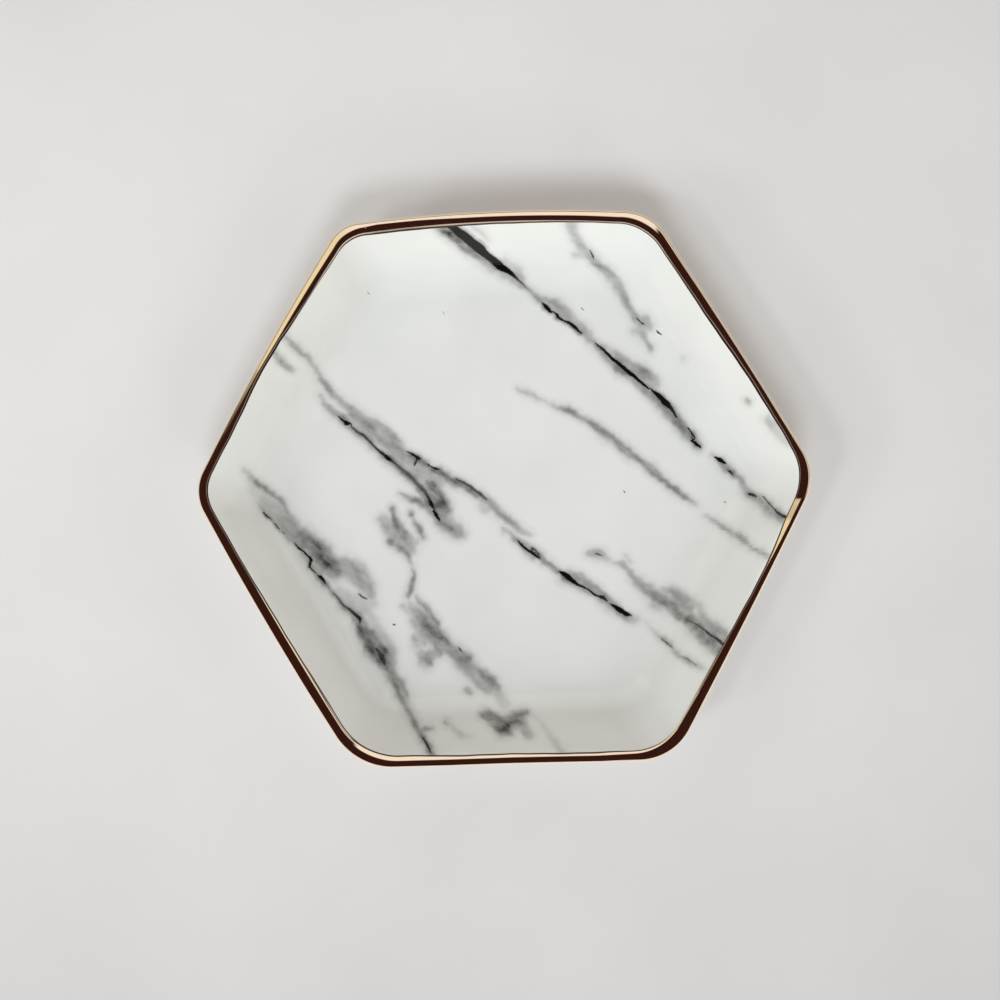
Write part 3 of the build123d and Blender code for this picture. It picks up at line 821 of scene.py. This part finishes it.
gold_centre = hexagons([lip_apothem], [lip_level], [corner_at(lip_apothem)], *gold_columns)[0]
around = np.arctan2(gold_centre[:, 1], gold_centre[:, 0])
inner_shake, outer_shake = (
    sum(reach * np.sin(count * around + start) for count, reach, start in waves)
    for waves in (inner_waves, outer_waves))
inner_run = inner_shake - by_heading(around, gold_widths)
outer_run = gold_outer_run + outer_shake
across = (0.5 - 0.5 * np.cos(np.linspace(0, pi, gold_rows)))[:, None]
run = inner_run + (outer_run - inner_run) * across
bead = np.minimum((run - inner_run) / inner_bead, (outer_run - run) / outer_bead)
face = np.sqrt(1 - (1 - np.clip(bead, 0, 1)) ** 2)
edge_skin = np.where(run < 0, gold_low, glaze_skin)
skin = edge_skin + (gold_skin - edge_skin) * face
back_run = inner_run + (outer_run - inner_run) * np.linspace(1, 0, gold_back_rows)[:, None]
gold_run = np.vstack([run, back_run])
gold_rise = np.vstack([skin - glaze_skin, 0 * back_run])[..., None] / (gold_skin - glaze_skin)
# The lip is drawn at even runs on two skins, so that the gold follows its corners as the print
# does, and each of the gold's points is taken between them.
inmost_run, outmost_run, run_count = -2.6, 3.6, 156
even_runs = np.linspace(inmost_run, outmost_run, run_count)
row = (gold_run - even_runs[0]) / (even_runs[1] - even_runs[0])
row_below = row.astype(int)
part = (row - row_below)[..., None]
column = np.arange(gold_run.shape[1])
gold_grid = 0
for skin_level, weight in ((glaze_skin, 1 - gold_rise), (gold_skin, gold_rise)):
    even_apothem, even_level = lip_path(even_runs, skin_level)
    lip_rows = hexagons(even_apothem, even_level, corner_at(even_apothem), *gold_columns)
    on_lip = lip_rows[row_below, column] * (1 - part) + lip_rows[row_below + 1, column] * part
    gold_grid = gold_grid + weight * on_lip
gold_line, _ = closed_skin("gold_line", gold_grid)
# A painted dark reflection lies beside the gold's inner edge, over a wider strip at the far side.
dark_edge_width, dark_edge_far_gain = 0.50, 1.1
dark_edge_reach = dark_edge_width * (1 + dark_edge_far_gain * np.clip(np.sin(around), 0, 1))
add_values(gold_line, "painted_dark_edge", np.clip(1 - (gold_run - inner_run) / dark_edge_reach, 0, 1))
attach(gold_line, "root")
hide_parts("gold_rim")

# Fired liquid bright gold: a mirror film of gold a thousandth of a millimetre thick, so it
# reflects warm and deep, with faint brush drag along the band and pinholes that show the glaze.
# At the inner edge it is painted dark brown and less metal, a painted dark reflection, most of all
# at the far side.
gold, tree, shader, place = new_material("bright_gold_lustre")
drag_size, hole_spacing = 1.5 * MM, 4 * MM
drag = add_node(tree, "TexNoise", {"Vector": place, "Scale": 1 / drag_size, "Detail": 3.0})
holes = add_node(tree, "TexVoronoi", {"Vector": place, "Scale": 1 / hole_spacing})
sheen = add_node(tree, "MapRange", {"Value": drag, "From Min": noise_low, "From Max": noise_high,
                                    "To Min": 0.04, "To Max": 0.08})
whole = add_node(tree, "MapRange", {"Value": holes, "From Min": 0.015, "From Max": 0.03})
film = add_node(tree, "MixRGB", {"Fac": whole, "Color1": linear("#e8e4da"),
                                 "Color2": linear("#f1dec4")})
painted_dark_edge = add_node(tree, "Attribute", attribute_name="painted_dark_edge").outputs["Fac"]
# Painted dark reflection: along its inner edge the gold is painted dark brown and made less metal.
painted_dark_share = add_node(tree, "MapRange", {"Value": painted_dark_edge, "From Min": 0.3, "From Max": 0.55})
gold_with_painted_dark = add_node(tree, "MixRGB", {"Fac": painted_dark_share, "Color1": film, "Color2": linear("#33201a")})
solid = add_node(tree, "Math", {0: whole, 1: painted_dark_share}, operation="SUBTRACT", use_clamp=True)
set_inputs(shader, {"Base Color": gold_with_painted_dark, "Metallic": solid, "Roughness": sheen})
gold_line.data.materials.append(gold)

# ---- Table ----
# A plain pale painted board under the dish, patchy as paint put on by brush is, with a painted pool
# of light: lightest at the far left of it and darker away from there.
table_side = 3000.0
table_mesh = bpy.data.meshes.new("table")
half_side = table_side / 2 * MM
table_mesh.from_pydata([(-half_side, -half_side, 0), (half_side, -half_side, 0),
                        (half_side, half_side, 0), (-half_side, half_side, 0)], [], [(0, 1, 2, 3)])
table = bpy.data.objects.new("table", table_mesh)
bpy.context.scene.collection.objects.link(table)
paint, tree, shader, place = new_material("painted_board")
patch_size, light_left, light_far = 45 * MM, 45 * MM, 20 * MM
light_from, light_to = 60 * MM, 195 * MM
patches = add_node(tree, "TexNoise", {"Vector": place, "Scale": 1 / patch_size, "Detail": 4.0})
from_light = add_node(tree, "Mapping", {"Vector": place, "Location": (light_left, -light_far, 0),
                                        "Scale": (1, 1.3, 1)})
reach = add_node(tree, "VectorMath", {0: from_light}, operation="LENGTH").outputs["Value"]
# Painted pool of light: the board is painted lighter near that spot and darker away from it.
painted_light_pool = add_node(tree, "MapRange", {"Value": reach, "From Min": light_from, "From Max": light_to,
                                    "To Min": 0.9, "To Max": 0.18})
mixed = add_node(tree, "Math", {0: patches, 1: 0.5}, operation="SUBTRACT")
small = add_node(tree, "Math", {0: mixed, 1: 0.5, 2: painted_light_pool}, operation="MULTIPLY_ADD",
                 use_clamp=True)
shade = add_node(tree, "ValToRGB", {"Fac": small}, stops=[(0, "#cdcbc9"), (1, "#e9e7e5")])
# What shines sees the near half of the table painted brighter: a painted sheen, standing in for the
# sheen that daylight gives it.
sheen_edge = 20 * MM
daylight_sheen = (1.0, 0.98, 0.96, 1)
far = add_node(tree, "SeparateXYZ", {"Vector": place}).outputs["Y"]
nearness = add_node(tree, "MapRange", {"Value": far, "From Min": sheen_edge,
                                       "From Max": -sheen_edge})
mirrored_ray = add_node(tree, "LightPath").outputs["Is Glossy Ray"]
painted_sheen_mask = add_node(tree, "Math", {0: mirrored_ray, 1: nearness}, operation="MULTIPLY")
board = add_node(tree, "MixRGB", {"Fac": painted_sheen_mask, "Color1": shade, "Color2": daylight_sheen})
set_inputs(shader, {"Base Color": board, "Roughness": 0.7})
table_mesh.materials.append(paint)

# ---- Light ----
# Soft daylight, most of it from the near side, some from the near left and a little from the near
# right. A lamp has its heading in the photograph, its angle from overhead and its spread, all in
# degrees, and its share of the one unit of light that a level surface gets in all.
lamps = {
    "window": (214, 34, 9, 0.10),
    "window_edge": (209, 53, 10, 0.05),
    "near_window": (268, 30, 16, 0.22),
    "far_window": (297, 58, 14, 0.03),
}
lamp_tint = np.array([0.94, 1.03, 1.11])
fill_share = 1 - sum(share for _, _, _, share in lamps.values())
for name, (heading, lean, spread, share) in lamps.items():
    lamp_data = bpy.data.lights.new(name, "SUN")
    lamp_data.angle = radians(spread)
    lamp_data.energy = share * pi / cos(radians(lean)) * lamp_tint.max()
    lamp_data.color = lamp_tint / lamp_tint.max()
    lamp = bpy.data.objects.new(name, lamp_data)
    lamp.rotation_euler = (0, radians(lean), radians(heading) - dish_turn)
    lamp.visible_glossy = False
    bpy.context.scene.collection.objects.link(lamp)

# The room: an even fill for matt surfaces. What shines mirrors a dim ceiling overhead, and a
# bright wall of windows beyond the far side of the dish.
world = bpy.data.worlds.new("room")
bpy.context.scene.world = world
world.use_nodes = True
tree = world.node_tree
tree.nodes.clear()
sky = add_node(tree, "TexCoord").outputs["Generated"]
_, sky_far, sky_up = add_node(tree, "SeparateXYZ", {"Vector": sky}).outputs
flat_sky = add_node(tree, "VectorMath", {0: sky, 1: (1, 1, 0)}, operation="MULTIPLY")
level_sky = add_node(tree, "VectorMath", {0: flat_sky}, operation="NORMALIZE")


def towards(heading):
    """The cosine of the angle between a sky direction and a heading in degrees, on the level."""
    way = (cos(radians(heading)), sin(radians(heading)), 0)
    turn = add_node(tree, "VectorMath", {0: level_sky, 1: way}, operation="DOT_PRODUCT")
    return turn.outputs["Value"]


# The room's parts lie within soft bounds. Each has the cosine that it bounds, the angle in degrees
# where it runs, and half its softness as a cosine, below zero where the part lies past the angle.
table_lean, ceiling_lean, sill_lean = 83, 37, 67
windows_middle, windows_half = 99, 51
sill_middle, sill_half = 18, 36
over_table, under_ceiling, in_windows, under_sill, by_windows, overhead = (
    add_node(tree, "MapRange", {"Value": cosine, "From Min": cos(radians(angle)) - softness,
                                "From Max": cos(radians(angle)) + softness})
    for cosine, angle, softness in (
        (sky_up, table_lean, 0.06), (sky_up, ceiling_lean, -0.03),
        (towards(windows_middle), windows_half, 0.04), (sky_up, sill_lean, -0.03),
        (towards(sill_middle), sill_half, 0.06), (sky_up, ceiling_lean, 0.1)))
belt = add_node(tree, "Math", {0: over_table, 1: under_ceiling}, operation="MULTIPLY")
lit = add_node(tree, "Math", {0: belt, 1: in_windows}, operation="MULTIPLY")
# Towards its left end the wall of windows gives way to a sunlit tan wall.
tan_middle, tan_out, tan_in = 165, 52, 34
window_glare, tan_paint = (1.05, 1.0, 0.98, 1), (0.96, 0.89, 0.66, 1)
tan_wall = add_node(tree, "MapRange", {"Value": towards(tan_middle),
                                       "From Min": cos(radians(tan_out)),
                                       "From Max": cos(radians(tan_in))})
wall = add_node(tree, "MixRGB", {"Fac": tan_wall, "Color1": window_glare, "Color2": tan_paint})
# To the right of the windows runs a low bright sill.
dim_ceiling, bright_sill = (0.036, 0.012, 0.010, 1), (0.9, 0.85, 0.8, 1)
low = add_node(tree, "Math", {0: under_sill, 1: over_table}, operation="MULTIPLY")
sill = add_node(tree, "Math", {0: low, 1: by_windows}, operation="MULTIPLY")
silled = add_node(tree, "MixRGB", {"Fac": sill, "Color1": dim_ceiling, "Color2": bright_sill})
mirrored = add_node(tree, "MixRGB", {"Fac": lit, "Color1": silled, "Color2": wall})
# The ceiling overhead is dim for matt surfaces too, and the fill is made up to its share.
cap_level = 0.2
cap_part = 1 - cos(radians(ceiling_lean)) ** 2
fill_level = fill_share / (1 - cap_part * (1 - cap_level))
fill_tint = np.array([1.04, 0.975, 0.93])
open_fill = (*fill_tint * fill_level, 1)
dim_fill = (*fill_tint * fill_level * cap_level, 1)
fill = add_node(tree, "MixRGB", {"Fac": overhead, "Color1": open_fill, "Color2": dim_fill})
# It is brighter towards the near side of the dish, by as much as it is dimmer towards the far one.
near_gain = 0.12
gain = add_node(tree, "Math", {0: sky_far, 1: -near_gain, 2: 1.0}, operation="MULTIPLY_ADD")
fill = add_node(tree, "VectorMath", {"Vector": fill, "Scale": gain.outputs[0]}, operation="SCALE")
rays = add_node(tree, "LightPath").outputs
seen = add_node(tree, "MixRGB", {"Fac": rays["Is Glossy Ray"], "Color1": fill,
                                 "Color2": mirrored})
backdrop = add_node(tree, "MixRGB", {"Fac": rays["Is Camera Ray"], "Color1": seen,
                                     "Color2": linear("#dcdad8")})
background = add_node(tree, "Background", {"Color": backdrop, "Strength": 1.0})
add_node(tree, "OutputWorld", {"Surface": background})

bpy.context.scene.view_settings.view_transform = "Standard"
